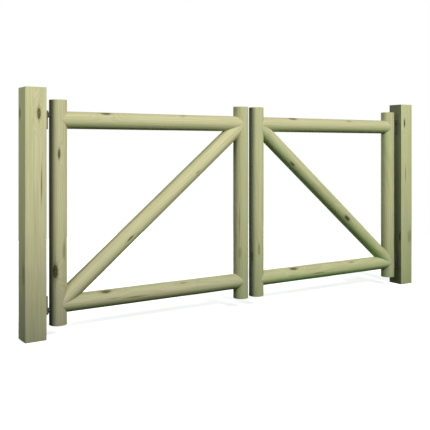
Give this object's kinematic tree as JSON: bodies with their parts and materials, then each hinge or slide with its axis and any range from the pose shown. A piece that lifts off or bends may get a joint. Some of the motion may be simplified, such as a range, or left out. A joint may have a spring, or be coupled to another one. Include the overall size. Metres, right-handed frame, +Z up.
{
  "type": "double wooden gate",
  "caption": "Double field gate of round wooden poles with diagonal braces, its leaves hung on square timber posts by pin and eye hinges.",
  "frame": {"origin": "centre of the left post's foot, at ground level", "axes": "+X runs along the closed gate from the left post to the right post, +Y to the back, +Z up"},
  "size_m": [3.06, 0.12, 1.392],
  "materials": {
    "post_timber": "sawn and pressure treated, matt, pale yellow green",
    "round_poles": "machine rounded and pressure treated, matt, pale yellow green",
    "zinc_steel": "hot-dip galvanised steel, dull grey"
  },
  "bodies": {
    "posts": {"left_post": "post_timber", "right_post": "post_timber", "left_upper_hinge_plate": "zinc_steel", "left_upper_hinge_pin": "zinc_steel", "left_lower_hinge_plate": "zinc_steel", "left_lower_hinge_pin": "zinc_steel", "right_upper_hinge_plate": "zinc_steel", "right_upper_hinge_pin": "zinc_steel", "right_lower_hinge_plate": "zinc_steel", "right_lower_hinge_pin": "zinc_steel"},
    "left_leaf": {"left_hinge_stile": "round_poles", "left_meeting_stile": "round_poles", "left_top_rail": "round_poles", "left_bottom_rail": "round_poles", "left_brace": "round_poles", "left_upper_hinge_eye": "zinc_steel", "left_lower_hinge_eye": "zinc_steel"},
    "right_leaf": {"right_hinge_stile": "round_poles", "right_meeting_stile": "round_poles", "right_top_rail": "round_poles", "right_bottom_rail": "round_poles", "right_brace": "round_poles", "right_upper_hinge_eye": "zinc_steel", "right_lower_hinge_eye": "zinc_steel"}
  },
  "joints": [
    {"name": "left_leaf_swing", "type": "hinge", "parent": "posts", "child": "left_leaf", "pos_m": [0.0805, 0, 0.6965], "axis": [0, 0, 1], "range_deg": [-58, 58]},
    {"name": "right_leaf_swing", "type": "hinge", "parent": "posts", "child": "right_leaf", "pos_m": [2.8595, 0, 0.6965], "axis": [0, 0, -1], "range_deg": [-58, 58]}
  ]
}
